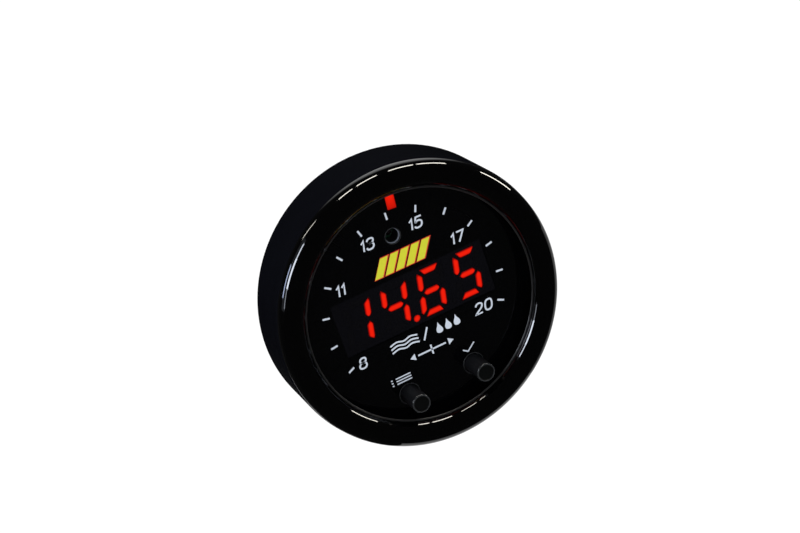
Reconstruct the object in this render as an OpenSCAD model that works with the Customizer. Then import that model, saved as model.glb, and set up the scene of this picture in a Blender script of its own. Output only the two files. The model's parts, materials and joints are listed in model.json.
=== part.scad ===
/* [Body] */
// Diameter of the body behind the bezel
body_d = 60; // [59.5:0.25:61]
// Wall thickness of the body
body_wall = 1.9; // [1.8:0.05:2.1]
// Thickness of the body's rear wall, which seats on the panel
rear_wall = 1.6; // [1.2:0.1:2.2]
// Height of the body's front edge above the dial
edge_h = 2.7; // [2.4:0.1:3]
// Rounding of the body's two outer edges
edge_round = 0.4; // [0.2:0.1:0.9]
// Number of ribs inside the body that carry the dial
rib_count = 8; // [6:2:12]
// Width of each rib
rib_w = 1.6; // [1:0.1:2.2]
// Width of the key that stops the dial from turning
key_w = 3; // [2:0.1:4]

/* [Cup] */
// Diameter of the cup that enters the panel's hole
cup_d = 52; // [51.6:0.1:52.3]
// Depth of the cup behind the seat
cup_depth = 5.1; // [4.6:0.1:6]
// Wall thickness of the cup
cup_wall = 2; // [1.6:0.1:2.2]
// Thickness of the rear cover's floor
cover_t = 1.5; // [1.2:0.1:2]
// Thickness of the rear cover's rim
cover_rim = 1.6; // [1.2:0.1:1.8]

/* [Bezel] */
// Diameter inside the bezel's lip
bezel_bore_d = 48.7; // [48.4:0.05:49]
// Thickness of the bezel's rounded bead
bead_d = 5.5; // [5.2:0.05:5.6]
// Height of the bead's centre above the dial
bead_h = 3.15; // [3.05:0.05:4.05]
// Depth of the bezel's wall where it stands on the dial
skirt_wall = 2.9; // [2.4:0.1:3]

/* [Dial] */
// Thickness of the dial plate
dial_t = 1.2; // [1:0.05:1.6]
// Diameter of the light sensor's hole
sensor_hole_d = 3.1; // [2.6:0.1:3.4]
// Height of the light sensor's hole above the gauge's axis
sensor_rise = 14.6; // [14:0.1:15]

/* [Light ring] */
// Number of light bars round the dial
bar_count = 24; // [16:1:24]
// Angle from one light bar to the next
bar_pitch = 10; // [8:0.5:10]
// Light bar that shines, counted from the left
bar_lit = 12; // [0:1:15]
// Radius at the inner end of a light bar
bar_inner_r = 20; // [19.8:0.1:20.4]
// Length of a light bar
bar_l = 4.3; // [3.6:0.1:4.4]
// Width of a light bar
bar_w = 1.87; // [1.2:0.01:2]
// Depth of the baffle between the display board and the dial
baffle_h = 3; // [2.9:0.1:3.6]

/* [Display] */
// Height of a digit
digit_h = 10.05; // [9:0.05:10.4]
// Width of a digit
digit_w = 5.9; // [5:0.05:6.2]
// Distance from one digit to the next
digit_pitch = 8.25; // [7.8:0.05:8.4]
// Width of a digit's segments
stroke = 1.35; // [1.1:0.05:1.6]
// Gap between two segments
seg_gap = 0.4; // [0.25:0.05:0.5]
// Lean of the digits from upright
slant = 10; // [0:1:12]
// Radius of a decimal point
point_r = 0.7; // [0.4:0.05:0.75]
// Width of the display's face
display_w = 34; // [33.6:0.2:34.6]
// Height of the display's face
display_l = 11.6; // [11.2:0.2:12.4]
// Height of the display's centre above the gauge's axis
display_rise = 0.38; // [0:0.02:0.8]

/* [Buttons] */
// Diameter of a button
button_d = 3.9; // [3.2:0.1:4.4]
// Height of a button above the dial
button_h = 6.5; // [5:0.1:7.5]
// Distance between the two buttons
button_spread = 14.88; // [12:0.02:16]
// Distance of the buttons below the gauge's axis
button_drop = 18.4; // [17.6:0.1:18.6]
// Depth of the dish in a button's top
dish_depth = 0.12; // [0.05:0.01:0.2]
// Travel of a button
button_travel = 0.4; // [0.2:0.05:0.5]
// Gap between a button and its hole in the dial
button_gap = 0.2; // [0.15:0.05:0.3]

/* [Boards] */
// Diameter of the two circuit boards
board_d = 52; // [51:0.5:52.2]
// Thickness of the controller board
controller_t = 1.6; // [1.2:0.1:1.8]
// Thickness of the display board
display_board_t = 1.2; // [1:0.1:1.6]
// Gap between the two boards
spacer_h = 1.9; // [1.6:0.1:2.6]
// Outside diameter of a spacer
spacer_d = 4.2; // [3.6:0.1:4.6]

/* [Rear] */
// Diameter of the mounting studs
stud_d = 4; // [3:0.5:4]
// Length of the studs behind the rear cover
stud_l = 14; // [8:1:25]
// Distance between the two studs
stud_spread = 36.4; // [35.8:0.2:36.8]
// Distance between neighbouring contacts of the harness sockets
contact_pitch = 3; // [2.6:0.1:3]
// How far the harness sockets stand out of the rear cover
socket_proud = 0.7; // [0.2:0.1:1.5]
// Depth of the harness sockets
socket_depth = 6; // [5.4:0.1:6.2]

/* [Hidden] */
$fn = 72;

// Colours of the finishes
shell_colour = [0.03, 0.03, 0.035];
gloss_colour = [0.015, 0.015, 0.018];
lit_colour = [1, 0.12, 0.03];
unlit_colour = [0.07, 0.055, 0.06];
board_colour = [0.02, 0.16, 0.09];
chip_colour = [0.09, 0.09, 0.1];
metal_colour = [0.75, 0.75, 0.78];
contact_colour = [0.8, 0.65, 0.3];

// Clearances and overruns
overrun = 1;
fit_gap = 0.05;
joint_gap = 0.1;
cover_gap = 0.2;
board_gap = 0.3;

// Levels, measured outwards from the seat on the panel
controller_z = rear_wall;
controller_top = controller_z + controller_t;
display_board_z = controller_top + spacer_h;
display_board_top = display_board_z + display_board_t;
dial_z = display_board_top + baffle_h;
dial_top = dial_z + dial_t;
edge_z = dial_top + edge_h;
bead_z = dial_top + bead_h;

// Radii of the body, the cup and the bezel
body_r = body_d / 2;
body_in_r = body_r - body_wall;
board_r = board_d / 2;
rib_in_r = board_r + board_gap;
cup_r = cup_d / 2;
cup_bore_r = cup_r - cup_wall;
cup_lead = 0.4;
cover_r = cup_bore_r - cover_gap;
cover_in_r = cover_r - cover_rim;
lip_r = bezel_bore_d / 2;
bead_r = bead_d / 2;
bead_mid_r = lip_r + bead_r;
flank_round_share = 0.45;
skirt_r = body_in_r - joint_gap;
skirt_in_r = skirt_r - skirt_wall;
dial_r = body_in_r - cover_gap;
key_depth = dial_r - skirt_in_r - skirt_wall / 2;

// Screws through the board stack, as shares of the boards' diameter
screw_place_shares = [[0.2, 0.23], [-0.2, 0.23], [0.28, -0.258], [-0.28, -0.258]];
screw_places = [for (share = screw_place_shares) board_d * share];
screw_d = 1.9;
screw_hole_d = screw_d + board_gap;
screw_head_d = 3.6;
screw_head_h = 1.3;
screw_bite = 3.2;
screw_recess_d = 1.2;
screw_recess_h = 0.7;
boss_d = spacer_d;

// Light ring
led_size = [1.6, 0.8, 0.6];
bar_margin = 0.8;
baffle_gap = 1.2;
baffle_r = bar_inner_r - bar_margin;
baffle_out_r = bar_inner_r + bar_l + bar_margin;
baffle_sweep = (bar_count - 1) * bar_pitch + bar_pitch;
pipe_z = display_board_top + led_size[2] + fit_gap;
pipe_sink = 0.05;

// Display
display_sink = 0.2;
display_base_t = 0.8;
display_face_z = dial_top - display_sink;
case_z = display_board_top + display_base_t;
corner_cut = 0.45;
digit_count = 4;
lit_letters = ["bc", "bcfgp", "acdefg", "acdfg"];
all_letters = "abcdefgp";

// Light sensor
sensor_size = [2, 1.25, 0.8];
sleeve_wall = 0.6;

// Buttons and their switches
button_chamfer = 0.25;
dish_rim = 0.15;
flange_lip = 1;
flange_d = button_d + 2 * flange_lip;
flange_h = 0.7;
flange_z = dial_z - fit_gap - flange_h;
switch_w = 4.5;
switch_h = 1.4;
plunger_d = 2.2;
well_floor = 0.15;
plunger_z = display_board_top + well_floor + button_travel + fit_gap;
mode_place = [-button_spread / 2, -button_drop];
select_place = [button_spread / 2, -button_drop];

// Parts on the boards, placed as shares of the boards' diameter
plug_size = [12, 4];
plug_wall = 0.8;
plug_share = 0.55;
plug_place_share = [0, -0.25];
plug_place = board_d * plug_place_share;
chip_size = [10, 10, 1.4];
chip_place_share = [0, 0.258];
chip_place = board_d * chip_place_share;
lead_size = [0.35, 0.9, 0.5];
lead_pitch = 0.8;
lead_count = 11;
driver_size = [4.9, 3.9, 1.5];
driver_place_shares = [[-0.106, -0.202], [0.106, -0.202]];
driver_places = [for (share = driver_place_shares) board_d * share];
can_d = 5;
can_h = 3.6;
can_base = [5.3, 5.3, 0.8];
can_place_shares = [[-0.106, -0.337], [0.106, -0.337]];
can_places = [for (share = can_place_shares) board_d * share];
choke_size = [6, 6, 3];
choke_place_share = [0.31, 0.13];
choke_place = board_d * choke_place_share;

// Harness sockets on the back of the controller board
socket_wall = 1;
socket_margin = 2;
socket_rows = 2;
socket_drop = 1;
sensor_columns = 3;
power_columns = 2;
socket_split = 3;
pin_w = 0.64;
pin_l = 3.8;
latch_w = 3;
latch_rise = 0.8;
latch_l = 2.2;
socket_mouth_z = -cup_depth - socket_proud;
socket_floor_z = socket_mouth_z + socket_depth;
socket_l = (socket_rows - 1) * contact_pitch + 2 * socket_margin + 2 * socket_wall;
sensor_socket_w = (sensor_columns - 1) * contact_pitch + 2 * socket_margin + 2 * socket_wall;
power_socket_w = (power_columns - 1) * contact_pitch + 2 * socket_margin + 2 * socket_wall;
sensor_place = [-socket_split / 2 - sensor_socket_w / 2, -socket_drop];
power_place = [socket_split / 2 + power_socket_w / 2, -socket_drop];

// Mounting studs
stud_flange_d = 7;
stud_flange_h = 1.4;
stud_tip = 0.6;
stud_shoulder = 0.5;
stud_shoulder_r = stud_d / 2 + stud_shoulder;
stud_pocket_wall = 0.9;
cover_floor_z = cover_t - cup_depth;

// Turns the gauge's axis, drawn upwards here, to face along -Y
module facing() {
    rotate([90, 0, 0]) children();
}

// A round ring or tube standing on the height z
module ring(r_out, r_in, z, h) {
    translate([0, 0, z]) difference() {
        cylinder(r = r_out, h = h);
        translate([0, 0, -overrun]) cylinder(r = r_in, h = h + 2 * overrun);
    }
}

// A round bar standing on the height z at a place on the dial
module post(place, r, z, h) {
    translate([place[0], place[1], z]) cylinder(r = r, h = h);
}

// A block of a given size, centred on a place and standing on the height z
module block(place, size, z) {
    translate([place[0] - size[0] / 2, place[1] - size[1] / 2, z]) cube(size);
}

// Section of the body's wall, its two outer corners rounded
module wall_section() {
    translate([body_in_r, 0]) square([body_wall - edge_round, edge_z]);
    translate([body_in_r, edge_round]) square([body_wall, edge_z - 2 * edge_round]);
    for (z = [edge_round, edge_z - edge_round])
        translate([body_r - edge_round, z]) circle(r = edge_round);
}

// Section of the cup with its lead-in and of the wall that seats on the panel
module cup_section() {
    polygon([
        [cup_bore_r, -cup_depth],
        [cup_r - cup_lead, -cup_depth],
        [cup_r, -cup_depth + cup_lead],
        [cup_r, rear_wall],
        [cup_bore_r, rear_wall]
    ]);
    translate([cover_in_r, 0]) square([body_in_r + edge_round - cover_in_r, rear_wall]);
}

module housing() {
    color(shell_colour) facing() {
        rotate_extrude() {
            wall_section();
            cup_section();
        }
        intersection() {
            union() {
                ring(body_in_r + edge_round, rib_in_r, 0, display_board_top);
                ring(body_in_r + edge_round, baffle_out_r + baffle_gap,
                     display_board_top, dial_z - display_board_top);
            }
            for (i = [0 : rib_count - 1])
                rotate((i + 0.5) * 360 / rib_count)
                    translate([0, -rib_w / 2, rear_wall - edge_round])
                        cube([body_r, rib_w, dial_z - rear_wall + edge_round]);
        }
        intersection() {
            ring(body_in_r + edge_round, dial_r - key_depth + joint_gap,
                 dial_z - overrun, dial_t + overrun);
            translate([-key_w / 2, -body_r, 0]) cube([key_w, body_r, dial_top]);
        }
    }
}

// Section of the bezel: the rounded bead, its outer flank with a rounded corner
// and the skirt inside the body
module bezel_section() {
    flank_h = bead_z - edge_z;
    flank_round = flank_h * flank_round_share;
    flank_mid_r = max(bead_mid_r + bead_r, skirt_r) - flank_round;
    difference() {
        translate([bead_mid_r, bead_z]) circle(r = bead_r);
        translate([0, edge_z - bead_d]) square([body_d, bead_d]);
    }
    translate([bead_mid_r, edge_z]) square([flank_mid_r - bead_mid_r, flank_h]);
    translate([flank_mid_r, edge_z + flank_round]) {
        square([flank_round, flank_h - flank_round]);
        circle(r = flank_round);
    }
    translate([skirt_in_r, dial_top]) square([skirt_wall, edge_z - dial_top + fit_gap]);
    translate([skirt_in_r, edge_z]) square([bead_mid_r - skirt_in_r, bead_z - edge_z]);
}

module bezel() {
    color(gloss_colour) facing() rotate_extrude() bezel_section();
}

module rear_cover() {
    color(shell_colour) facing() difference() {
        union() {
            translate([0, 0, -cup_depth]) cylinder(r = cover_r, h = cover_t);
            ring(cover_r, cover_in_r, -cup_depth, cup_depth);
            for (place = screw_places)
                post(place, boss_d / 2, -cup_depth, cup_depth + controller_z);
            intersection() {
                translate([0, 0, -cup_depth]) cylinder(r = cover_r, h = cup_depth);
                for (side = [-1, 1])
                    post([side * stud_spread / 2, 0], stud_flange_d / 2 + stud_pocket_wall,
                         -cup_depth, cover_t + stud_flange_h);
            }
        }
        for (place = screw_places)
            post(place, screw_d / 2 + fit_gap,
                 controller_z - screw_bite - overrun, screw_bite + 2 * overrun);
        for (side = [-1, 1]) {
            post([side * stud_spread / 2, 0], stud_shoulder_r + fit_gap,
                 -cup_depth - overrun, cup_depth);
            translate([side * stud_spread / 2, 0, cover_floor_z])
                cylinder(d = stud_flange_d + 2 * fit_gap, h = cup_depth, $fn = 6);
        }
        socket_hole(sensor_place, sensor_socket_w);
        socket_hole(power_place, power_socket_w);
    }
}

// Hole in the rear cover for a harness socket and its latch ramp
module socket_hole(place, width) {
    size = [width + 2 * cover_gap, socket_l + 2 * cover_gap, cup_depth];
    block(place, size, -cup_depth - overrun);
    latch = [latch_w + 2 * cover_gap, 2 * (latch_rise + cover_gap), cup_depth];
    block([place[0], place[1] + socket_l / 2], latch, -cup_depth - overrun);
}

// Clockwise angle of a light bar from the top of the dial
function bar_angle(i) = (i - (bar_count - 1) / 2) * bar_pitch;

// Light bars of the ring, widened by a margin
module bars(indices, margin, z, h) {
    size = [bar_w + 2 * margin, bar_l + 2 * margin, h];
    for (i = indices)
        rotate(-bar_angle(i)) block([0, bar_inner_r + bar_l / 2], size, z);
}

module dial_plate() {
    color(gloss_colour) facing() difference() {
        translate([0, 0, dial_z]) cylinder(r = dial_r, h = dial_t);
        bars([0 : bar_count - 1], fit_gap, dial_z - overrun, dial_t + 2 * overrun);
        block([0, display_rise], [display_w + 2 * joint_gap, display_l + 2 * joint_gap,
              dial_t + 2 * overrun], dial_z - overrun);
        post([0, sensor_rise], sensor_hole_d / 2, dial_z - overrun, dial_t + 2 * overrun);
        for (place = [mode_place, select_place])
            post(place, button_d / 2 + button_gap, dial_z - overrun, dial_t + 2 * overrun);
        translate([-key_w / 2 - joint_gap, -dial_r - overrun, dial_z - overrun])
            cube([key_w + 2 * joint_gap, key_depth + overrun, dial_t + 2 * overrun]);
    }
}

// Outline of one segment of a digit, upright and widened by a margin
function segment_points(letter, m) =
    let (a = digit_w / 2 + m, b = digit_h / 2 + m, t = stroke + 2 * m, g = seg_gap - m, c = corner_cut)
    letter == "a" ? [[-a + c + g, b], [a - c - g, b], [a - t - g, b - t], [-a + t + g, b - t]] :
    letter == "g" ? [[-a + t / 2 + g, 0], [-a + t + g, t / 2], [a - t - g, t / 2],
                     [a - t / 2 - g, 0], [a - t - g, -t / 2], [-a + t + g, -t / 2]] :
    letter == "f" ? [[-a, b - 3 * c / 2 - g], [-a + c / 2, b - c / 2 - g], [-a + t, b - t - g / 2],
                     [-a + t, g + t / 2], [-a + t / 2, g], [-a, g + t / 2]] :
    letter == "b" ? [for (p = segment_points("f", m)) [-p[0], p[1]]] :
    letter == "e" ? [for (p = segment_points("f", m)) [p[0], -p[1]]] :
    letter == "c" ? [for (p = segment_points("f", m)) [-p[0], -p[1]]] :
    [for (p = segment_points("a", m)) [p[0], -p[1]]];

// A point of an upright digit, leaned over
function leaned(p) = [p[0] + p[1] * tan(slant), p[1]];

// Whether a letter is among the letters of a word
function among(letter, word) = len(search(letter, word)) > 0;

// Segments of all digits that are lit, or unlit, or both
module segments(lit, unlit, margin, z, h) {
    for (i = [0 : digit_count - 1])
        translate([(i - (digit_count - 1) / 2) * digit_pitch, display_rise, z])
            for (letter = all_letters)
                if (among(letter, lit_letters[i]) ? lit : unlit) {
                    if (letter == "p")
                        translate(leaned([digit_pitch / 2, point_r - digit_h / 2]))
                            cylinder(r = point_r + margin, h = h);
                    else
                        linear_extrude(height = h)
                            polygon([for (p = segment_points(letter, margin)) leaned(p)]);
                }
}

module display_case() {
    color([0.05, 0.05, 0.065]) facing() difference() {
        block([0, display_rise], [display_w, display_l, display_face_z - case_z], case_z);
        segments(true, true, fit_gap / 2, case_z - overrun, display_face_z - case_z + 2 * overrun);
    }
}

module display_base() {
    color(board_colour) facing()
        block([0, display_rise], [display_w, display_l, display_base_t], display_board_top);
}

module segments_lit() {
    color(lit_colour) facing() segments(true, false, 0, case_z, display_face_z - case_z);
}

module segments_unlit() {
    color(unlit_colour) facing() segments(false, true, 0, case_z, display_face_z - case_z);
}

module light_pipe_lit() {
    color(lit_colour) facing() bars([bar_lit], 0, pipe_z, dial_top - pipe_sink - pipe_z);
}

module light_pipes_unlit() {
    unlit = [for (i = [0 : bar_count - 1]) if (i != bar_lit) i];
    color(unlit_colour) facing() bars(unlit, 0, pipe_z, dial_top - pipe_sink - pipe_z);
}

module light_baffle() {
    color(chip_colour) facing() difference() {
        rotate(90 - baffle_sweep / 2) rotate_extrude(angle = baffle_sweep)
            translate([baffle_r, display_board_top]) square([baffle_out_r - baffle_r, baffle_h]);
        bars([0 : bar_count - 1], fit_gap, display_board_top - overrun, baffle_h + 2 * overrun);
    }
}

module ring_leds() {
    color([0.85, 0.83, 0.7]) facing() for (i = [0 : bar_count - 1])
        rotate(-bar_angle(i)) block([0, bar_inner_r + bar_l / 2], led_size, display_board_top);
}

module light_sensor() {
    color([0.12, 0.1, 0.1]) facing() block([0, sensor_rise], sensor_size, display_board_top);
}

module sensor_sleeve() {
    color(chip_colour) facing() translate([0, sensor_rise, 0])
        ring(sensor_hole_d / 2 + sleeve_wall, sensor_hole_d / 2, display_board_top, baffle_h);
}

// A button: a flange behind the dial and a stem with a chamfered edge and a dished top
module button(place) {
    top = dial_top + button_h;
    top_r = button_d / 2 - button_chamfer;
    color(gloss_colour) facing() difference() {
        union() {
            post(place, flange_d / 2, flange_z, flange_h);
            post(place, button_d / 2, flange_z, top - button_chamfer - flange_z);
            translate([place[0], place[1], top - button_chamfer])
                cylinder(r1 = button_d / 2, r2 = top_r, h = button_chamfer);
        }
        post(place, top_r - dish_rim, top - dish_depth, overrun);
    }
}

// The moving pin of a switch, under the button's flange
module plunger(place) {
    color(metal_colour) facing() post(place, plunger_d / 2, plunger_z, flange_z - plunger_z);
}

// The fixed body of a switch, with the well that its pin slides in
module switch(place) {
    color(chip_colour) facing() difference() {
        block(place, [switch_w, switch_w, switch_h], display_board_top);
        post(place, plunger_d / 2 + fit_gap, display_board_top + well_floor, switch_h);
    }
}

module mode_button() { button(mode_place); }
module mode_plunger() { plunger(mode_place); }
module mode_switch() { switch(mode_place); }
module select_button() { button(select_place); }
module select_plunger() { plunger(select_place); }
module select_switch() { switch(select_place); }

// A round board with the holes for the stack's screws
module board(z, h) {
    color(board_colour) facing() difference() {
        translate([0, 0, z]) cylinder(r = board_r, h = h);
        for (place = screw_places)
            post(place, screw_hole_d / 2, z - overrun, h + 2 * overrun);
    }
}

module display_board() { board(display_board_z, display_board_t); }
module controller_board() { board(controller_z, controller_t); }

module board_socket() {
    depth = spacer_h * plug_share;
    outer = [plug_size[0] + 2 * plug_wall, plug_size[1] + 2 * plug_wall, depth];
    color(chip_colour) facing() difference() {
        block(plug_place, outer, controller_top);
        block(plug_place, [plug_size[0], plug_size[1], depth], controller_top + plug_wall / 2);
    }
}

module board_plug() {
    tongue_z = controller_top + plug_wall / 2 + fit_gap;
    flat_z = controller_top + spacer_h * plug_share + fit_gap;
    outer = [plug_size[0] + 2 * plug_wall, plug_size[1] + 2 * plug_wall, display_board_z - flat_z];
    tongue = [plug_size[0] - 2 * fit_gap, plug_size[1] - 2 * fit_gap, display_board_z - tongue_z];
    color([0.8, 0.78, 0.7]) facing() {
        block(plug_place, outer, flat_z);
        block(plug_place, tongue, tongue_z);
    }
}

module board_spacers() {
    color(metal_colour) facing() for (place = screw_places)
        translate(place) ring(spacer_d / 2, screw_hole_d / 2, controller_top, spacer_h);
}

// A flat chip on the rear of the controller board, with leads along its four sides
module controller_chip() {
    size = chip_size;
    reach = [size[0] + 2 * lead_size[1], size[1] + 2 * lead_size[1]];
    color(chip_colour) facing() {
        block(chip_place, size, controller_z - size[2]);
        for (i = [0 : lead_count - 1]) {
            slide = (i - (lead_count - 1) / 2) * lead_pitch;
            block([chip_place[0] + slide, chip_place[1]], [lead_size[0], reach[1], lead_size[2]],
                  controller_z - lead_size[2]);
            block([chip_place[0], chip_place[1] + slide], [reach[0], lead_size[0], lead_size[2]],
                  controller_z - lead_size[2]);
        }
    }
}

module driver_chips() {
    color(chip_colour) facing() for (place = driver_places)
        block(place, driver_size, controller_z - driver_size[2]);
}

module capacitors() {
    color(metal_colour) facing() for (place = can_places) {
        block(place, can_base, controller_z - can_base[2]);
        post(place, can_d / 2, controller_z - can_base[2] - can_h, can_h);
    }
}

module power_choke() {
    color([0.2, 0.2, 0.22]) facing() block(choke_place, choke_size, controller_z - choke_size[2]);
}

// A harness socket: a shroud open to the rear, with a latch ramp on its upper wall
module socket(place, width, columns) {
    inner = [width - 2 * socket_wall, socket_l - 2 * socket_wall, socket_depth + overrun];
    bore = [pin_w + 2 * fit_gap, pin_w + 2 * fit_gap, socket_depth + controller_z + cup_depth];
    color([0.06, 0.06, 0.065]) facing() {
        difference() {
            block(place, [width, socket_l, controller_z - socket_mouth_z], socket_mouth_z);
            block(place, inner, socket_mouth_z - overrun);
            for (spot = contact_places(place, columns))
                block(spot, bore, socket_mouth_z);
        }
        translate([place[0] - latch_w / 2, place[1] + socket_l / 2, socket_mouth_z + latch_rise])
            rotate([90, 0, 90]) linear_extrude(height = latch_w)
                polygon([[0, 0], [latch_rise, latch_l], [0, latch_l]]);
    }
}

// Places of the contacts in a socket
function contact_places(place, columns) = [
    for (i = [0 : columns - 1]) for (j = [0 : socket_rows - 1])
        [place[0] + (i - (columns - 1) / 2) * contact_pitch,
         place[1] + (j - (socket_rows - 1) / 2) * contact_pitch]
];

module pins(place, columns) {
    tip_z = socket_floor_z - pin_l;
    color(contact_colour) facing() for (spot = contact_places(place, columns))
        block(spot, [pin_w, pin_w, controller_z - tip_z], tip_z);
}

module sensor_socket() { socket(sensor_place, sensor_socket_w, sensor_columns); }
module sensor_pins() { pins(sensor_place, sensor_columns); }
module power_socket() { socket(power_place, power_socket_w, power_columns); }
module power_pins() { pins(power_place, power_columns); }

// Long screws from the display board through the stack into the rear cover
module stack_screws() {
    tip_z = controller_z - screw_bite;
    color(metal_colour) facing() for (place = screw_places) difference() {
        union() {
            post(place, screw_d / 2, tip_z, display_board_top - tip_z + fit_gap);
            post(place, screw_head_d / 2, display_board_top, screw_head_h);
        }
        translate([place[0], place[1], display_board_top + screw_head_h - screw_recess_h])
            cylinder(d = screw_recess_d, h = screw_head_h, $fn = 6);
    }
}

// Studs that hold the gauge's clamp, each with a hexagonal flange and a shoulder in the rear cover
module mounting_studs() {
    end_z = -cup_depth - stud_l;
    color(metal_colour) facing() for (side = [-1, 1]) translate([side * stud_spread / 2, 0, 0]) {
        translate([0, 0, cover_floor_z]) cylinder(d = stud_flange_d, h = stud_flange_h, $fn = 6);
        translate([0, 0, -cup_depth]) cylinder(r = stud_shoulder_r, h = cover_t + fit_gap);
        translate([0, 0, end_z + stud_tip]) cylinder(d = stud_d, h = stud_l - stud_tip + fit_gap);
        translate([0, 0, end_z]) cylinder(d1 = stud_d - 2 * stud_tip, d2 = stud_d, h = stud_tip);
    }
}

housing();
bezel();
rear_cover();
dial_plate();
display_case();
display_base();
segments_lit();
segments_unlit();
light_pipe_lit();
light_pipes_unlit();
light_baffle();
ring_leds();
light_sensor();
sensor_sleeve();
mode_button();
mode_plunger();
mode_switch();
select_button();
select_plunger();
select_switch();
display_board();
board_plug();
board_socket();
board_spacers();
controller_board();
controller_chip();
driver_chips();
capacitors();
power_choke();
sensor_socket();
sensor_pins();
power_socket();
power_pins();
stack_screws();
mounting_studs();
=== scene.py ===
# Looks of an air fuel ratio gauge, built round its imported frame
import json
import math

import bmesh
import bpy
from mathutils import Matrix, Vector


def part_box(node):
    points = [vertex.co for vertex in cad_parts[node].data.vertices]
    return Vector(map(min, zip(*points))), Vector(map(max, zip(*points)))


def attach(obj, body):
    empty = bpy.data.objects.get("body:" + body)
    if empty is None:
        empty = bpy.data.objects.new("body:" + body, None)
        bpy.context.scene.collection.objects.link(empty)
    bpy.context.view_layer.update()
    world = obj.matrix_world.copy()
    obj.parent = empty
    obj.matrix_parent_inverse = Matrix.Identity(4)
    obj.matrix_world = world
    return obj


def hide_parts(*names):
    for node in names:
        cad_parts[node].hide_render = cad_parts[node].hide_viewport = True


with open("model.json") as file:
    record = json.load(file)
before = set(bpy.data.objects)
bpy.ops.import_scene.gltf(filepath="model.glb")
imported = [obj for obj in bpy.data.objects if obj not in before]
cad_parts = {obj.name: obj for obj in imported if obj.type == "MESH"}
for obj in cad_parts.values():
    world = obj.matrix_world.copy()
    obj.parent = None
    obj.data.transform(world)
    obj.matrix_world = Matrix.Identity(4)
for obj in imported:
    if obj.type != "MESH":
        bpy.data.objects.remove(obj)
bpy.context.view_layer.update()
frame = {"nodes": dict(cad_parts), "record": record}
nodes = frame["nodes"]
MM = 0.001


def front(node):
    """Height of a node's foremost face above the seat, in millimetres."""
    return -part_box(node)[0].y / MM


def rear(node):
    """Height of a node's rearmost face above the seat, in millimetres."""
    return -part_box(node)[1].y / MM


def radius(node):
    """Half of a node's width, in millimetres."""
    low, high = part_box(node)
    return (high.x - low.x) / 2 / MM


def centre(node):
    """Place of a node's centre on the dial: x to the right and y up, in millimetres."""
    low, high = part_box(node)
    return (low.x + high.x) / 2 / MM, (low.z + high.z) / 2 / MM


# Levels above the seat on the panel, in millimetres
DIAL = front("dial_plate")
FACE = front("display_case")
EDGE = front("housing")
TOP = front("bezel")

# Sizes that the frame's boxes don't give, in millimetres
BEAD_R = 2.75
BEAD_MID_R = radius("bezel") - BEAD_R
BEAD_H = TOP - BEAD_R
SKIRT_R = 28.0
SKIRT_IN_R = 25.1
LIP_ROUND = 0.12
FLANK_ROUND = 0.2
INK = 0.02
INK_GAP = 0.002

# Where a turned profile meets its axis, in millimetres, near enough for the weld to close it, and the reach of
# that weld, in metres
AXIS_R = 0.0001
WELD = 1e-7

# Points round a turned piece
RING_STEPS = 384
ROUND_STEPS = 96
SMALL_STEPS = 48

# Edges sharper than this stay sharp, in degrees
SHARP = 35
PRINT_SHARP = 20
GLOW_SHARP = 15
THREAD_SHARP = 50

# Least cosine of half the turn at a corner, which keeps a pen's side no farther from its line than the
# pen's width
MITRE = 0.5


# Meshes

def spot(x, y, h):
    """A point of the dial, h above the seat, in the row frame."""
    return Vector((x, -h, y)) * MM


def piece(name, mesh, material, body):
    """A new object that rides on a body, with the finish or finishes given."""
    obj = bpy.data.objects.new(name, mesh)
    bpy.context.scene.collection.objects.link(obj)
    for item in material if isinstance(material, list) else [material]:
        mesh.materials.append(item)
    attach(obj, body)
    return obj


def finished(bm, name, sharp=SHARP):
    """The mesh of bm with outward normals, smooth except at edges sharper than an angle in degrees."""
    bmesh.ops.recalc_face_normals(bm, faces=bm.faces)
    mesh = bpy.data.meshes.new(name)
    bm.to_mesh(mesh)
    bm.free()
    mesh.polygons.foreach_set("use_smooth", [True] * len(mesh.polygons))
    mesh.set_sharp_from_angle(angle=math.radians(sharp))
    return mesh


def arc(middle, r, start, end, steps):
    """Points of an arc in a profile, its angles in degrees."""
    turns = [math.radians(start + (end - start) * i / steps) for i in range(steps + 1)]
    return [(middle[0] + r * math.cos(t), middle[1] + r * math.sin(t)) for t in turns]


def lathe(name, profile, steps, middle=(0, 0)):
    """A closed profile of (radius, height) turned round a place on the dial."""
    bm = bmesh.new()
    rings = []
    for i in range(steps):
        t = 2 * math.pi * i / steps
        x, y = math.cos(t), math.sin(t)
        rings.append([bm.verts.new(spot(middle[0] + r * x, middle[1] + r * y, h)) for r, h in profile])
    for i in range(steps):
        a, b = rings[i], rings[(i + 1) % steps]
        for j in range(len(profile)):
            k = (j + 1) % len(profile)
            bm.faces.new((a[j], a[k], b[k], b[j]))
    bmesh.ops.remove_doubles(bm, verts=bm.verts, dist=WELD)
    return finished(bm, name)


def printed(name, outlines, height=DIAL + INK_GAP):
    """Flat outlines on the dial, as thick as ink."""
    bm = bmesh.new()
    for outline in outlines:
        bm.faces.new([bm.verts.new(spot(x, y, height)) for x, y in outline])
    grown = bmesh.ops.extrude_face_region(bm, geom=list(bm.faces))["geom"]
    raised = [part for part in grown if isinstance(part, bmesh.types.BMVert)]
    bmesh.ops.translate(bm, vec=spot(0, 0, INK), verts=raised)
    return finished(bm, name, PRINT_SHARP)


def between(p, q, r, s, t):
    """A smooth value at the share t of the way from q to r, led by p before them and s after them."""
    square, cube = 2 * p - 5 * q + 4 * r - s, 3 * q - p - 3 * r + s
    return 0.5 * (2 * q + (r - p) * t + square * t * t + cube * t ** 3)


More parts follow.
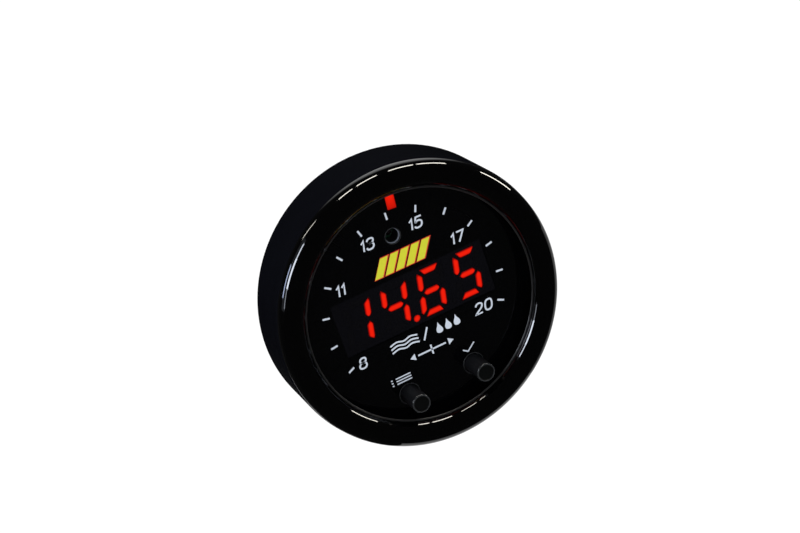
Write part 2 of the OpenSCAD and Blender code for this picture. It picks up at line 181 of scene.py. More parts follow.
def curve(points, share=8):
    """A smooth line through points, with a share of steps between each two."""
    line = []
    ends = [points[0]] + list(points) + [points[-1]]
    for a, b, c, d in zip(ends, ends[1:], ends[2:], ends[3:]):
        for i in range(share):
            t = i / share
            line.append(tuple(between(p, q, r, s, t) for p, q, r, s in zip(a, b, c, d)))
    return line + [points[-1]]


def stroke(line, width, closed=False):
    """Quads along a line, as wide as a pen."""
    pts = [Vector(p) for p in line]
    count = len(pts)
    sides = []
    for i, p in enumerate(pts):
        before = pts[i - 1] if i or closed else p
        after = pts[(i + 1) % count] if i < count - 1 or closed else p
        one = (p - before).normalized() if (p - before).length else (after - p).normalized()
        two = (after - p).normalized() if (after - p).length else one
        way = (one + two).normalized()
        reach = width / 2 / max(MITRE, way.dot(one))
        side = Vector((-way.y, way.x)) * reach
        sides.append((p + side, p - side))
    pairs = list(zip(sides, sides[1:] + (sides[:1] if closed else [])))
    return [[tuple(a[0]), tuple(b[0]), tuple(b[1]), tuple(a[1])] for a, b in pairs]


def ring(middle, rx, ry, steps=32, power=2.0):
    """A closed oval line, squarer with a higher power."""
    line = []
    for i in range(steps):
        t = 2 * math.pi * i / steps
        c, s = math.cos(t), math.sin(t)
        line.append((middle[0] + rx * math.copysign(abs(c) ** (2 / power), c),
                     middle[1] + ry * math.copysign(abs(s) ** (2 / power), s)))
    return line


# Materials

GLOW = "glow"
FINE_DETAIL = 3
BROAD_DETAIL = 2
BROAD_GRAINS = 20
BUMP_SHARE = 0.3
LEAST_ROUGH = 0.02


def finish(name, colour, rough=0.4, metal=0.0, grain=0.15, bump=0.1, vary=0.12, rough_vary=0.05,
           specular=0.5, glow=None, stretch=(1, 1, 1)):
    """A moulded, painted or metal finish: grain in millimetres, colour and roughness that vary over it.

    A glow is a pair of colours, mixed by the mesh's own glow at each point.
    """
    material = bpy.data.materials.new(name)
    material.use_nodes = True
    tree = material.node_tree
    shader = tree.nodes["Principled BSDF"]
    link = tree.links.new
    shader.inputs["Metallic"].default_value = metal
    shader.inputs["Specular IOR Level"].default_value = specular
    place = tree.nodes.new("ShaderNodeTexCoord")
    scaled = tree.nodes.new("ShaderNodeMapping")
    scaled.inputs["Scale"].default_value = stretch
    link(place.outputs["Object"], scaled.inputs["Vector"])
    fine = tree.nodes.new("ShaderNodeTexNoise")
    fine.inputs["Scale"].default_value = 1 / (grain * MM)
    fine.inputs["Detail"].default_value = FINE_DETAIL
    broad = tree.nodes.new("ShaderNodeTexNoise")
    broad.inputs["Scale"].default_value = 1 / (BROAD_GRAINS * grain * MM)
    broad.inputs["Detail"].default_value = BROAD_DETAIL
    for noise in (fine, broad):
        link(scaled.outputs["Vector"], noise.inputs["Vector"])
    shade = tree.nodes.new("ShaderNodeMix")
    shade.data_type = "RGBA"
    shade.inputs["A"].default_value = (*[c * (1 - vary) for c in colour], 1)
    shade.inputs["B"].default_value = (*[min(1, c * (1 + vary)) for c in colour], 1)
    link(broad.outputs["Fac"], shade.inputs["Factor"])
    link(shade.outputs["Result"], shader.inputs["Base Color"])
    spread = tree.nodes.new("ShaderNodeMapRange")
    spread.inputs["To Min"].default_value = max(LEAST_ROUGH, rough - rough_vary)
    spread.inputs["To Max"].default_value = rough + rough_vary
    link(fine.outputs["Fac"], spread.inputs["Value"])
    link(spread.outputs["Result"], shader.inputs["Roughness"])
    raised = tree.nodes.new("ShaderNodeBump")
    raised.inputs["Strength"].default_value = bump
    raised.inputs["Distance"].default_value = grain * MM * BUMP_SHARE
    link(fine.outputs["Fac"], raised.inputs["Height"])
    link(raised.outputs["Normal"], shader.inputs["Normal"])
    if glow:
        lamp = tree.nodes.new("ShaderNodeMix")
        lamp.data_type = "RGBA"
        lamp.inputs["A"].default_value = (*glow[0], 1)
        lamp.inputs["B"].default_value = (*glow[1], 1)
        shine = tree.nodes.new("ShaderNodeAttribute")
        shine.attribute_name = GLOW
        link(shine.outputs["Fac"], lamp.inputs["Factor"])
        link(lamp.outputs["Result"], shader.inputs["Emission Color"])
        shader.inputs["Emission Strength"].default_value = 1
    return material


finishes = {
    "shell": finish("shell", (0.0036, 0.0039, 0.006), 0.6, grain=0.22, bump=0.35, specular=0.002),
    "bezel": finish("bezel", (0.0004, 0.0004, 0.0005), 0.04, grain=0.9, bump=0.012, rough_vary=0.015),
    "dial": finish("dial", (0.0007, 0.0008, 0.0011), 0.08, grain=0.12, bump=0.01, rough_vary=0.02),
    "display": finish("display", (0.0022, 0.0022, 0.0042), 0.24, grain=0.1, bump=0.04),
    "lit": finish("lit", (0.06, 0.001, 0.0005), 0.4, grain=0.05, specular=0.04,
                  glow=((0.22, 0.001, 0.0005), (0.84, 0.011, 0.0015))),
    "unlit": finish("unlit", (0.0022, 0.0021, 0.0038), 0.26, grain=0.08, bump=0.04),
    "unlit_pipe": finish("unlit_pipe", (0.0007, 0.0008, 0.0011), 0.08, grain=0.1, bump=0.01,
                         rough_vary=0.02),
    "moulding": finish("moulding", (0.006, 0.006, 0.008), 0.42, grain=0.15, bump=0.2),
    "led": finish("led", (0.6, 0.58, 0.46), 0.3, grain=0.1),
    "sensor": finish("sensor", (0.012, 0.008, 0.01), 0.12, grain=0.1, bump=0.03),
    # Button stems, painted lighter as a sheen
    "button": finish("button", (0.0085, 0.009, 0.0112), 0.5, grain=0.1, bump=0.2, specular=0.12,
                     stretch=(3, 0.4, 3)),
    "steel": finish("steel", (0.55, 0.55, 0.57), 0.28, 1.0, grain=0.12, bump=0.12, stretch=(1, 8, 1)),
    "brass": finish("brass", (0.68, 0.5, 0.24), 0.3, 1.0, grain=0.1, bump=0.1, stretch=(1, 8, 1)),
    "board": finish("board", (0.008, 0.06, 0.03), 0.3, grain=0.3, bump=0.15, vary=0.3),
    "connector": finish("connector", (0.008, 0.008, 0.01), 0.45, grain=0.18, bump=0.3),
    "contact": finish("contact", (0.78, 0.57, 0.22), 0.22, 1.0, grain=0.08, bump=0.06),
    "chip": finish("chip", (0.012, 0.012, 0.013), 0.55, grain=0.08, bump=0.3),
    "can": finish("can", (0.62, 0.62, 0.64), 0.3, 1.0, grain=0.1, bump=0.08),
}
white_ink = finish("white_ink", (0.66, 0.73, 0.84), 0.5, grain=0.06, bump=0.1, vary=0.06)
yellow_ink = finish("yellow_ink", (0.72, 0.74, 0.015), 0.5, grain=0.06, bump=0.1, vary=0.06)
red_ink = finish("red_ink", (0.72, 0.035, 0.004), 0.5, grain=0.06, bump=0.1, vary=0.08)
# Tops of the buttons, painted darker than the stem as shade
button_top_shade = finish("button_top_shade", (0.0022, 0.0026, 0.0026), 0.4, grain=0.1, bump=0.15, specular=0.2)
# Rims painted lighter than their parts as a painted highlight; their low roughness also gives real reflections
painted_rim_highlight = finish("painted_rim_highlight", (0.026, 0.028, 0.03), 0.07, grain=0.1, bump=0.02, rough_vary=0.02)
# Lighter finish for the line round the bead's inner side, a painted reflection
painted_lip_reflection = finish("painted_lip_reflection", (0.015, 0.0152, 0.016), 0.35, grain=0.1, bump=0.03)
hole_wall = finish("hole_wall", (0.3, 0.34, 0.42), 0.35, grain=0.08, bump=0.1)

for row in frame["record"]["subparts"]:
    mesh = nodes[row["node"]].data
    mesh.materials.clear()
    mesh.materials.append(finishes[row["material_slot"]])


# Bezel: the skirt, the flank and the gloss bead, with its lip rounded

BEAD_STEPS = 72
FLANK_STEPS = 12


def bezel_profile():
    middle = (BEAD_MID_R, BEAD_H)
    under = math.degrees(math.asin((BEAD_H - EDGE - LIP_ROUND) / BEAD_R))
    outer = BEAD_MID_R + BEAD_R
    line = [(SKIRT_R, DIAL), (SKIRT_R, EDGE)]
    line += arc((outer - FLANK_ROUND, EDGE + FLANK_ROUND), FLANK_ROUND, -90, 0, FLANK_STEPS)
    line += arc(middle, BEAD_R, 0, 180 + under, BEAD_STEPS)
    inner = line[-1]
    line += [(inner[0] + LIP_ROUND, EDGE), (SKIRT_IN_R + LIP_ROUND, EDGE - LIP_ROUND)]
    return line + [(SKIRT_IN_R, EDGE - 2 * LIP_ROUND), (SKIRT_IN_R, DIAL)]


bezel_ring = piece("bezel_ring", lathe("bezel_ring", bezel_profile(), RING_STEPS), finishes["bezel"], "root")
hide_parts("bezel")


# Ring round the bead's inner side, painted lighter than the bead as a reflection line, in millimetres, with
# its angle from the bead's outer side and the sweep of its own round in degrees

LINE_ANGLE = 168
LINE_R = 0.22
LINE_OUT = 0.12
LINE_SWEEP = 330
LINE_STEPS = 11
line_turn = math.radians(LINE_ANGLE)
line_reach = BEAD_R + LINE_OUT
line_middle = (BEAD_MID_R + line_reach * math.cos(line_turn), BEAD_H + line_reach * math.sin(line_turn))
bezel_reflection_line = lathe("bezel_reflection_line", arc(line_middle, LINE_R, 0, LINE_SWEEP, LINE_STEPS), RING_STEPS)
piece("bezel_reflection_line", bezel_reflection_line, painted_lip_reflection, "root")


# Scale of the dial: marks and numbers, in millimetres, with the span of the marks and the lean in degrees

MARK_COUNT = 13
MARK_SPAN = 230
MARK_R = 19.0
MARK_L = 1.5
MARK_W = 0.4
PEN = 0.37
NUMBER_H = 2.55
DIGIT_W = 1.9
ONE_W = 0.9
DIGIT_GAP = 0.3
LEAN = math.tan(math.radians(12))

# Each digit's pen lines in a box of one by one, with whether a line is closed
DIGITS = {
    "0": [(ring((0.5, 0.5), 0.5, 0.5, power=2.7), True)],
    "1": [([(0, 0.74), (1, 1), (1, 0)], False)],
    "2": [(curve([(0.02, 0.74), (0.16, 0.93), (0.5, 1), (0.86, 0.92), (0.97, 0.72), (0.8, 0.48), (0.3, 0.2),
                  (0, 0)]) + [(1, 0)], False)],
    "3": [(curve([(0.04, 0.78), (0.18, 0.95), (0.52, 1), (0.88, 0.92), (0.94, 0.7), (0.76, 0.55),
                  (0.4, 0.53)]), False),
          (curve([(0.4, 0.53), (0.8, 0.5), (1, 0.3), (0.86, 0.07), (0.5, 0), (0.14, 0.05),
                  (0, 0.22)]), False)],
    "5": [([(0.96, 1), (0.16, 1), (0.06, 0.5)], False),
          (curve([(0.06, 0.5), (0.3, 0.62), (0.6, 0.64), (0.92, 0.52), (1, 0.3), (0.86, 0.07), (0.46, 0),
                  (0.1, 0.05), (0, 0.2)]), False)],
    "7": [([(0, 1), (1, 1), (0.36, 0)], False)],
    "8": [(ring((0.5, 0.765), 0.42, 0.235, power=2.3), True),
          (ring((0.5, 0.265), 0.5, 0.265, power=2.3), True)],
}

# The scale's numbers, with the lower left corner of each
NUMBERS = [
    ("13", -7.3, 13.85), ("15", 3.5, 13.85), ("11", -15.1, 7.3), ("17", 10.8, 7.3), ("8", -15.7, -9.0),
    ("20", 11.0, -9.0),
]


def marks():
    quads = []
    for i in range(MARK_COUNT):
        turn = math.radians(MARK_SPAN * (i / (MARK_COUNT - 1) - 0.5))
        out = Vector((math.sin(turn), math.cos(turn)))
        quads += stroke([out * (MARK_R - MARK_L / 2), out * (MARK_R + MARK_L / 2)], MARK_W)
    return quads


def number(word, x, y):
    quads = []
    for letter in word:
        width = ONE_W if letter == "1" else DIGIT_W
        for line, closed in DIGITS[letter]:
            held = [(PEN / 2 + u * (width - PEN), PEN / 2 + v * (NUMBER_H - PEN)) for u, v in line]
            quads += stroke([(x + u + v * LEAN, y + v) for u, v in held], PEN, closed)
        x += width + DIGIT_GAP
    return quads


scale = marks() + [quad for word, x, y in NUMBERS for quad in number(word, x, y)]
piece("dial_scale", printed("dial_scale", scale), white_ink, "root")


# Plain symbols below the display, in millimetres: waves for air, a divider, drops for fuel, a balance bar
# with arrows, and the buttons' signs, a list and a tick

WAVE_X = -8.1
WAVE_L = 6.2
WAVE_TURNS = 4
WAVE_SWING = 0.18
WAVE_PEN = 0.34
WAVE_ROWS = (-8.5, -7.7, -6.9)
SIGN_PEN = 0.36
DIVIDER = [(-0.9, -8.95), (0.5, -6.5)]
DROP_PLACES = (2.9, 4.9, 6.9)
DROP_LOW = -8.95
DROP_W = 1.5
DROP_H = 2.45
DROP_STEPS = 5
DROP_SIDE = [(0.16, 0.72), (0.46, 0.38), (0.4, 0.1), (0, 0)]
BALANCE = [(-3.2, -11.45), (3.2, -11.45)]
BALANCE_MIDDLE = [(0, -12.5), (0, -10.4)]
ARROW = [(5.0, -11.45), (3.8, -10.7), (3.8, -12.2)]
LIST_ROWS = (-14.1, -14.7, -15.3)
LIST_LINE = (-9.3, -5.9)
LIST_DOT = (-10.4, -10.0)
LIST_PEN = 0.26
TICK = [(6.1, -14.7), (7.1, -15.4), (8.9, -14.0)]
TICK_PEN = 0.28


def wave(y):
    return curve([(WAVE_X + WAVE_L * i / WAVE_TURNS, y + (WAVE_SWING if i % 2 else -WAVE_SWING))
                  for i in range(WAVE_TURNS + 1)])


def drop(x):
    top = [(x, DROP_LOW + DROP_H)]
    right = curve([(x + DROP_W * u, DROP_LOW + DROP_H * v) for u, v in DROP_SIDE], DROP_STEPS)
    return top + right + [(2 * x - u, v) for u, v in reversed(right[:-1])]


def symbols():
    quads = []
    for y in WAVE_ROWS:
        quads += stroke(wave(y), WAVE_PEN)
    quads += stroke(DIVIDER, SIGN_PEN)
    quads += [drop(x) for x in DROP_PLACES]
    quads += stroke(BALANCE, SIGN_PEN)
    quads += stroke(BALANCE_MIDDLE, SIGN_PEN)
    quads += [[(side * x, y) for x, y in ARROW] for side in (-1, 1)]
    for y in LIST_ROWS:
        quads += stroke([(x, y) for x in LIST_LINE], LIST_PEN)
        quads += stroke([(x, y) for x in LIST_DOT], LIST_PEN)
    quads += stroke(TICK, TICK_PEN)
    return quads


piece("dial_symbols", printed("dial_symbols", symbols()), white_ink, "root")


# Emblem above the display, in millimetres: equal slanted bars with an edge round each

EMBLEM_LOW = 7.5
EMBLEM_H = 3.8
EMBLEM_LEFT = -6.4
EMBLEM_BARS = 5
EMBLEM_PITCH = 2.35
EMBLEM_BAR_W = 1.75
EMBLEM_LEAN = 0.62
EMBLEM_EDGE = 0.17


def emblem(grow):
    """The bars, grown on each side."""
    outlines = []
    for i in range(EMBLEM_BARS):
        start = EMBLEM_LEFT + EMBLEM_PITCH * i
        left, right = start - grow, start + EMBLEM_BAR_W + grow
        low, high = EMBLEM_LOW - grow, EMBLEM_LOW + EMBLEM_H + grow
        reach = (high - low) * EMBLEM_LEAN
        outlines.append([(left, low), (right, low), (right + reach, high), (left + reach, high)])
    return outlines


piece("emblem_edge", printed("emblem_edge", emblem(EMBLEM_EDGE)), red_ink, "root")
piece("emblem", printed("emblem", emblem(0), DIAL + INK_GAP + INK), yellow_ink, "root")


# Lit segments of the display, in millimetres, each brighter in its middle than at its edge

DIGIT_H = 10.05
SEGMENT_DIGIT_W = 5.9
DIGIT_PITCH = 8.25
SEGMENT_W = 1.35
SEGMENT_GAP = 0.4
SEGMENT_SHRINK = 0.1
CORNER_CUT = 0.45
CORNER_ROUND = 0.4
TIP_ROUND = 0.12
POINT_R = 0.7
SEGMENT_LEAN = math.tan(math.radians(10))
READING = ["bc", "bcfgp", "acdefg", "acdfg"]

# Share of the way from a segment's outline to its middle line, and the glow there
GLOW_STEPS = ((0, 0), (0.2, 0.5), (0.42, 0.85), (0.7, 1))

# Longest share of a side that the round at its corner takes
ROUND_SHARE = 0.48


def rounded(corners, rounds, steps=6):
    """An outline whose corners are drawn as short curves, each as long as its round."""
    line = []
    for i, (corner, r) in enumerate(zip(corners, rounds)):
        here = Vector(corner)
        ends = []
        for other in (corners[i - 1], corners[(i + 1) % len(corners)]):
            way = Vector(other) - here
            ends.append(here + way.normalized() * min(r, way.length * ROUND_SHARE))
        for k in range(steps + 1):
            t = k / steps
            line.append(tuple(ends[0] * (1 - t) ** 2 + here * 2 * t * (1 - t) + ends[1] * t * t))
    return line


def segment(letter):
    """A segment about its digit's centre: its corners, the round of each and the line along its middle."""
    s = SEGMENT_SHRINK
    a, b = SEGMENT_DIGIT_W / 2 - s, DIGIT_H / 2 - s
    t, g, c = SEGMENT_W - 2 * s, SEGMENT_GAP + s, CORNER_CUT
    h = t / 2
    if letter == "g":
        corners = [(-a + h + g, 0), (-a + t + g, h), (a - t - g, h),
                   (a - h - g, 0), (a - t - g, -h), (-a + t + g, -h)]
        return corners, [CORNER_ROUND] * 6, [(-a + t + g, 0), (a - t - g, 0)]
    if letter in "ad":
        flip = 1 if letter == "a" else -1
        corners = [(-a + c + g, b), (a - c - g, b), (a - t - g, b - t), (-a + t + g, b - t)]
        spine = [(-a + t + g, b - h), (a - t - g, b - h)]
        rounds = [TIP_ROUND, TIP_ROUND, CORNER_ROUND, CORNER_ROUND]
        return [(x, y * flip) for x, y in corners], rounds, [(x, y * flip) for x, y in spine]
    side = -1 if letter in "bc" else 1
    flip = 1 if letter in "bf" else -1
    corners = [(-a, b - 1.5 * c - g), (-a + c / 2, b - c / 2 - g), (-a + t, b - t - g / 2),
               (-a + t, g + t / 2), (-a + h, g), (-a, g + t / 2)]
    spine = [(-a + h, b - t - g), (-a + h, g + t / 2)]
    rounds = [TIP_ROUND, TIP_ROUND] + [CORNER_ROUND] * 4
    corners, spine = ([(x * side, y * flip) for x, y in part] for part in (corners, spine))
    return corners, rounds, spine


def lit_shapes():
    """The lit segments and the point of the reading: an outline and a middle line for each."""
    mid_x, mid_y = centre("display_case")
    shapes = []
    for i, letters in enumerate(READING):
        shift = mid_x + (i - (len(READING) - 1) / 2) * DIGIT_PITCH
        for letter in letters:
            if letter == "p":
                middle = (DIGIT_PITCH / 2, POINT_R - DIGIT_H / 2)
                line, spine = ring(middle, POINT_R, POINT_R), [middle, middle]
            else:
                corners, rounds, spine = segment(letter)
                line = rounded(corners, rounds)
            parts = [[(x + y * SEGMENT_LEAN + shift, y + mid_y) for x, y in part] for part in (line, spine)]
            shapes.append(parts)
    return shapes


def glowing(name, shapes, top, bottom, shade):
    """Prisms with a glow at each point, given by its place and by how near it is to the middle line."""
    bm = bmesh.new()
    store = bm.verts.layers.float.new(GLOW)
    for outline, (start, end) in shapes:
        start, end = Vector(start), Vector(end)
        length = (end - start).length
        way = (end - start).normalized()
        rings = [[bm.verts.new(spot(x, y, bottom)) for x, y in outline]]
        for share, level in GLOW_STEPS:
            loop = []
            for x, y in outline:
                here = Vector((x, y))
                near = start + way * min(max((here - start).dot(way), 0), length)
                place = here.lerp(near, share)
                loop.append(bm.verts.new(spot(place.x, place.y, top)))
                loop[-1][store] = shade(place, level)
            rings.append(loop)
        for low, high in zip(rings, rings[1:]):
            for i in range(len(outline)):
                k = (i + 1) % len(outline)
                bm.faces.new((low[i], low[k], high[k], high[i]))
        bm.faces.new(rings[0])
        bm.faces.new(rings[-1])
    return finished(bm, name, GLOW_SHARP)


digits = glowing("lit_digits", lit_shapes(), FACE, rear("segments_lit"), lambda place, level: level)
lit_digits = piece("lit_digits", digits, finishes["lit"], "root")
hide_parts("segments_lit")


# Lit bar of the ring, brighter towards the rim, in millimetres, with its turn in degrees from the dial's top

BAR_R = 20.0
BAR_L = 4.3
BAR_W = 1.87
BAR_TURN = 5
BAR_ROUND = 0.12
BAR_CLEARANCE = 0.02
BAR_EDGE_GLOW = 0.6
BAR_LOW_GLOW = 0.45
BAR_GLOW_RISE = 0.95


def bar_shape():
    turn = math.radians(BAR_TURN)
    out = Vector((math.sin(turn), math.cos(turn)))
    side = Vector((out.y, -out.x)) * (BAR_W / 2 - BAR_CLEARANCE)
    ends = [out * (BAR_R + BAR_CLEARANCE), out * (BAR_R + BAR_L - BAR_CLEARANCE)]
    corners = [ends[0] - side, ends[1] - side, ends[1] + side, ends[0] + side]
    spine = [out * (BAR_R + BAR_W / 2), out * (BAR_R + BAR_L - BAR_W / 2)]
    return rounded([tuple(c) for c in corners], [BAR_ROUND] * 4), spine


def bar_shade(place, level):
    share = (place.length - BAR_R) / BAR_L
    return (BAR_EDGE_GLOW + (1 - BAR_EDGE_GLOW) * level) * (BAR_LOW_GLOW + BAR_GLOW_RISE * share)


bar = glowing("lit_bar", [bar_shape()], front("light_pipe_lit"), rear("light_pipe_lit"), bar_shade)
lit_bar = piece("lit_bar", bar, finishes["lit"], "root")
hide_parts("light_pipe_lit")


# Buttons, in millimetres: a satin stem painted lighter as a sheen, and a dish in its top painted darker as
# shade, inside a rim painted lighter as a highlight

BUTTON_R = 1.95
BUTTON_EDGE = 0.22
BUTTON_RIM = 0.3
FLANGE_R = 2.95
FLANGE_H = 0.7
DISH = 0.12
EDGE_STEPS = 8
DISH_STEPS = 6


def button_cap(name, node, body):
    top = front(node)
    low = rear(node)
    line = [(AXIS_R, low), (FLANGE_R, low), (FLANGE_R, low + FLANGE_H), (BUTTON_R, low + FLANGE_H)]
    line += arc((BUTTON_R - BUTTON_EDGE, top - BUTTON_EDGE), BUTTON_EDGE, 0, 90, EDGE_STEPS)
    line += arc((BUTTON_R - BUTTON_RIM - DISH, top), DISH, 0, -90, DISH_STEPS)
    line += [(AXIS_R, top - DISH)]
    x, y = centre(node)
    # Stem painted lighter as a sheen, rim painted as a highlight, top painted darker as shade
    skins = [finishes["button"], painted_rim_highlight, button_top_shade]
    cap = piece(name, lathe(name, line, ROUND_STEPS, (x, y)), skins, body)
    for face in cap.data.polygons:
        r = math.hypot(face.center.x / MM - x, face.center.z / MM - y)
        if -face.center.y / MM > top - BUTTON_EDGE:
            face.material_index = 1 if r > BUTTON_R - BUTTON_RIM else 2
    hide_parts(node)


button_cap("mode_cap", "mode_button", "mode_key")
button_cap("select_cap", "select_button", "select_key")


# Rims of the holes in the dial, in millimetres, each a small round bead three quarters sunk in the dial and
# painted lighter as a highlight, with the sweep of its round in degrees

HOLE_RIM = 0.1
RIM_SWEEP = 340
RIM_STEPS = 14
BUTTON_CLEARANCE = 0.2
BUTTON_HOLE_R = BUTTON_R + BUTTON_CLEARANCE
SENSOR_HOLE_R = 1.55


def hole_rim(name, place, r):
    line = arc((r + HOLE_RIM, DIAL - HOLE_RIM / 2), HOLE_RIM, 0, RIM_SWEEP, RIM_STEPS)
    piece(name, lathe(name, line, ROUND_STEPS, place), painted_rim_highlight, "root")


hole_rim("mode_hole_rim", centre("mode_button"), BUTTON_HOLE_R)
hole_rim("select_hole_rim", centre("select_button"), BUTTON_HOLE_R)
hole_rim("sensor_hole_rim", centre("light_sensor"), SENSOR_HOLE_R)


# Grey band round the inside of the sensor's hole, below its rim, in millimetres

BAND_HIGH = DIAL - 0.3
BAND_LOW = DIAL - 0.95
BAND_ROUND = 0.06
BAND_STEPS = 4
BAND_R = SENSOR_HOLE_R - 0.02
band = arc((BAND_R, BAND_HIGH - BAND_ROUND), BAND_ROUND, 90, 180, BAND_STEPS)
band += arc((BAND_R, BAND_LOW + BAND_ROUND), BAND_ROUND, 180, 270, BAND_STEPS)
hole_band = lathe("sensor_hole_band", band, ROUND_STEPS, centre("light_sensor"))
piece("sensor_hole_band", hole_band, hole_wall, "root")


# Domed lens on the light sensor, in millimetres, with its sweep in degrees, which ends just short of the axis

LENS_R = 0.55
LENS_SWEEP = 89.9
LENS_STEPS = 12
sensor_top = front("light_sensor")
dome = [(AXIS_R, sensor_top)] + arc((0, sensor_top), LENS_R, 0, LENS_SWEEP, LENS_STEPS)
sensor_lens = lathe("sensor_lens", dome, SMALL_STEPS, centre("light_sensor"))
piece("sensor_lens", sensor_lens, finishes["sensor"], "root")


# Mounting studs with their threads cut inside the stud's radius, in millimetres

STUD_R = 2.0
THREAD_PITCH = 0.7
THREAD_DEPTH = 0.35
THREAD_STEPS = 8
THREAD_SIDES = 40
RELIEF = 0.3
STUD_TIP = 0.6
SHOULDER_R = 2.5
STUD_FLANGE_R = 3.5
STUD_FLANGE_H = 1.4
STUD_FLANGE_SIDES = 6
SUNK = 0.05


def stud_profile_r(h, turn, low, start):
    """Radius of a stud at a height below its shoulder, with the thread at a turn round it."""
    phase = ((h - low) / THREAD_PITCH + turn / (2 * math.pi)) % 1
    groove = THREAD_DEPTH * (1 - abs(2 * phase - 1))
    limit = STUD_R - max(0, STUD_TIP - (h - low))
    return min(limit, STUD_R - groove) if h < start - RELIEF else STUD_R


def stud_mesh(bm, place_x, low, start, floor):
    """A stud from its tip at low: the thread to start, the shoulder to the floor, and the flange on it."""
    steps = int((start - low) / THREAD_PITCH * THREAD_STEPS)
    rows = []
    for j in range(steps + 1):
        h = low + (start - low) * j / steps
        row = []
        for i in range(THREAD_SIDES):
            turn = 2 * math.pi * i / THREAD_SIDES
            r = stud_profile_r(h, turn, low, start)
            row.append(bm.verts.new(spot(place_x + r * math.cos(turn), r * math.sin(turn), h)))
        rows.append(row)
    bm.faces.new(rows[0])
    for a, b in zip(rows, rows[1:]):
        for i in range(THREAD_SIDES):
            k = (i + 1) % THREAD_SIDES
            bm.faces.new((a[i], a[k], b[k], b[i]))
    bm.faces.new(rows[-1])
    shoulder = (SHOULDER_R, start, floor + SUNK, SMALL_STEPS)
    flange = (STUD_FLANGE_R, floor, floor + STUD_FLANGE_H, STUD_FLANGE_SIDES)
    for r, h0, h1, count in (shoulder, flange):
        loops = []
        for h in (h0, h1):
            turns = [2 * math.pi * i / count for i in range(count)]
            loops.append([bm.verts.new(spot(place_x + r * math.cos(t), r * math.sin(t), h)) for t in turns])
            bm.faces.new(loops[-1])
        for i in range(count):
            k = (i + 1) % count
            bm.faces.new((loops[0][i], loops[0][k], loops[1][k], loops[1][i]))


stud_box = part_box("mounting_studs")
stud_x = stud_box[1].x / MM - STUD_FLANGE_R
stud_floor = front("mounting_studs") - STUD_FLANGE_H
bm = bmesh.new()
for side in (-1, 1):
    stud_mesh(bm, side * stud_x, rear("mounting_studs"), rear("rear_cover"), stud_floor)
studs = finished(bm, "threaded_studs", THREAD_SHARP)
threaded = piece("threaded_studs", studs, finishes["steel"], "root")
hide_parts("mounting_studs")


# Camera, solved from the photograph: its place in metres, its axes, and its lens and sensor in millimetres

CAMERA_PLACE = Vector((-0.0880, -0.34245, 0.14463))
CAMERA_RIGHT = Vector((0.88225, -0.35799, -0.30573))
CAMERA_UP = Vector((0.40709, 0.25395, 0.87738))
CAMERA_BACK = Vector((-0.23646, -0.89853, 0.36978))
CAMERA_LENS = 83.26
CAMERA_SENSOR = 36

lens = bpy.data.cameras.new("camera")
lens.lens = CAMERA_LENS
lens.sensor_width = CAMERA_SENSOR
camera = bpy.data.objects.new("camera", lens)
axes = Matrix((CAMERA_RIGHT, CAMERA_UP, CAMERA_BACK)).transposed().to_4x4()
camera.matrix_world = Matrix.Translation(CAMERA_PLACE) @ axes
bpy.context.scene.collection.objects.link(camera)
bpy.context.scene.camera = camera


# Lamps that show only as reflections, each a strip from one direction to another, seen from the object: the
# name, the two directions and the thickness in degrees, the colour and the radiance

LAMP_DISTANCE = 1.2
WHITE = (1, 1, 1)
WARM = (1, 0.95, 0.85)
COOL = (0.82, 0.88, 1)
BLUE = (0.6, 0.7, 1)
STRIPS = [
    ("right_low_strip", (86.5, 5), (86.3, 21), 7, WARM, 26),
    ("right_strip", (87, 39), (82, 54), 7, WARM, 26),
    ("right_high_strip", (81, 56), (75, 69.5), 7, WARM, 26),
    ("top_strip", (81, 77), (16, 88), 7, WARM, 26),
    ("top_back_strip", (-56, 87), (-81.5, 78.3), 7, WARM, 26),
    ("back_left_strip", (-121, 57), (-126, 43), 4, WARM, 16),
    ("left_high_box", (-74, 46), (-76, 37), 9, COOL, 18),
    ("left_box", (-76, 37), (-79, 20), 13, COOL, 22),
    ("left_low_box", (-79, 20), (-80, 9), 6, COOL, 6),
    ("left_glow", (-90, 50), (-92, 8), 30, COOL, 0.3),
    ("left_back_box", (-108, 32), (-106, 14), 9, BLUE, 12),
]

# Pale table close below the object, which shows only as a reflection. It is made of parts side by side: the
# name, the left and right ends and the front edge in millimetres, and the radiance

TABLE_DROP = 36
TABLE_DEPTH = 180
TABLE = [
    ("table_far_left", -42, -27, 14, 0.5),
    ("table_left", -27, -15, 0, 0.7),
    ("table_middle", -15, 25, -17, 0.85),
    ("table_right", 25, 180, -17, 0.45),
]


def direction(azimuth, elevation):
    """A direction from the object: azimuth from the front to the right, elevation upwards."""
    a, e = math.radians(azimuth), math.radians(elevation)
    return Vector((math.sin(a) * math.cos(e), -math.cos(a) * math.cos(e), math.sin(e)))


def gloss_lamp(name, size, depth, radiance, colour, place):
    """A lamp that only gloss sees, of a size in metres and a radiance."""
    data = bpy.data.lights.new(name, "AREA")
    data.shape = "RECTANGLE"
    data.size = size
    data.size_y = depth
    data.energy = radiance * math.pi * size * depth
    data.color = colour
    obj = bpy.data.objects.new(name, data)
    obj.matrix_world = place
    obj.visible_diffuse = False
    obj.visible_camera = False
    bpy.context.scene.collection.objects.link(obj)


for name, start, end, thickness, colour, radiance in STRIPS:
    a, b = direction(*start), direction(*end)
    out, along = (a + b).normalized(), (b - a).normalized()
    size = 2 * LAMP_DISTANCE * math.tan(a.angle(b) / 2)
    depth = 2 * LAMP_DISTANCE * math.tan(math.radians(thickness) / 2)
    turned = Matrix((along, out.cross(along), out)).transposed().to_4x4()
    gloss_lamp(name, size, depth, radiance, colour, Matrix.Translation(out * LAMP_DISTANCE) @ turned)

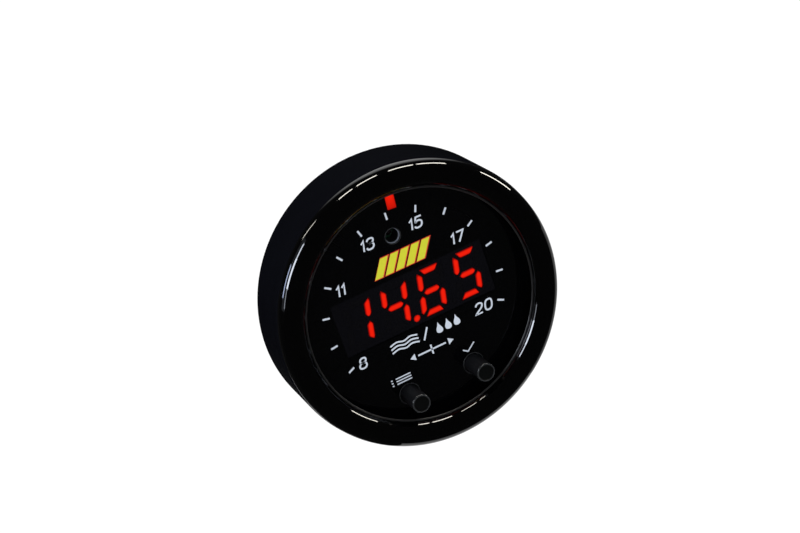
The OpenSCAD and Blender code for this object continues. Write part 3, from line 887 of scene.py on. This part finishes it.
for name, left, right, edge, radiance in TABLE:
    middle = Vector(((left + right) / 2, edge + TABLE_DEPTH / 2, -TABLE_DROP)) * MM
    upward = Matrix.Translation(middle) @ Matrix.Rotation(math.pi, 4, "X")
    gloss_lamp(name, (right - left) * MM, TABLE_DEPTH * MM, radiance, WHITE, upward)


# World: plain soft light, white to the eye, and in gloss dim but for a pale wall behind the object. The
# wall's middle is a direction in degrees, and its edge and full part are cosines of the angle from there

WALL = (158, 30)
WALL_EDGE = 0.87
WALL_FULL = 0.996
WALL_LEVEL = 1.1
DIM_LEVEL = 0.02

world = bpy.data.worlds.new("world")
world.use_nodes = True
bpy.context.scene.world = world
tree = world.node_tree
tree.nodes.clear()
link = tree.links.new
out = tree.nodes.new("ShaderNodeOutputWorld")
light = tree.nodes.new("ShaderNodeBackground")
path = tree.nodes.new("ShaderNodeLightPath")
way = tree.nodes.new("ShaderNodeTexCoord")
toward = tree.nodes.new("ShaderNodeVectorMath")
toward.operation = "DOT_PRODUCT"
toward.inputs[1].default_value = direction(*WALL)
link(way.outputs["Generated"], toward.inputs[0])
rise = tree.nodes.new("ShaderNodeMapRange")
rise.interpolation_type = "SMOOTHSTEP"
rise.inputs["From Min"].default_value = WALL_EDGE
rise.inputs["From Max"].default_value = WALL_FULL
rise.inputs["To Min"].default_value = DIM_LEVEL
rise.inputs["To Max"].default_value = WALL_LEVEL
link(toward.outputs["Value"], rise.inputs["Value"])
level = tree.nodes.new("ShaderNodeMix")
level.inputs["A"].default_value = 1
link(path.outputs["Is Glossy Ray"], level.inputs["Factor"])
link(rise.outputs["Result"], level.inputs["B"])
light.inputs["Color"].default_value = (1, 1, 1, 1)
link(level.outputs["Result"], light.inputs["Strength"])
link(light.outputs["Background"], out.inputs["Surface"])


# Floor, in metres, far enough below that its shadow stays out of the photograph's view

FLOOR_DROP = 0.25
FLOOR_SIZE = 20
FLOOR_CUTS = 8
FLOOR_GREY = 0.9
FLOOR_LIFT = 0.15

bpy.ops.mesh.primitive_grid_add(
    x_subdivisions=FLOOR_CUTS, y_subdivisions=FLOOR_CUTS, size=FLOOR_SIZE, location=(0, 0, -FLOOR_DROP))
floor = bpy.context.object
floor.name = "floor"
floor.visible_glossy = False
paint = bpy.data.materials.new("floor")
paint.use_nodes = True
tree = paint.node_tree
link = tree.links.new
shader = tree.nodes["Principled BSDF"]
shader.inputs["Base Color"].default_value = (FLOOR_GREY, FLOOR_GREY, FLOOR_GREY, 1)
shader.inputs["Roughness"].default_value = 1
shader.inputs["Specular IOR Level"].default_value = 0
shader.inputs["Emission Color"].default_value = (1, 1, 1, 1)
seen = tree.nodes.new("ShaderNodeLightPath")
lift = tree.nodes.new("ShaderNodeMath")
lift.operation = "MULTIPLY"
lift.inputs[1].default_value = FLOOR_LIFT
link(seen.outputs["Is Camera Ray"], lift.inputs[0])
link(lift.outputs["Value"], shader.inputs["Emission Strength"])
floor.data.materials.append(paint)

bpy.context.scene.view_settings.view_transform = "Standard"
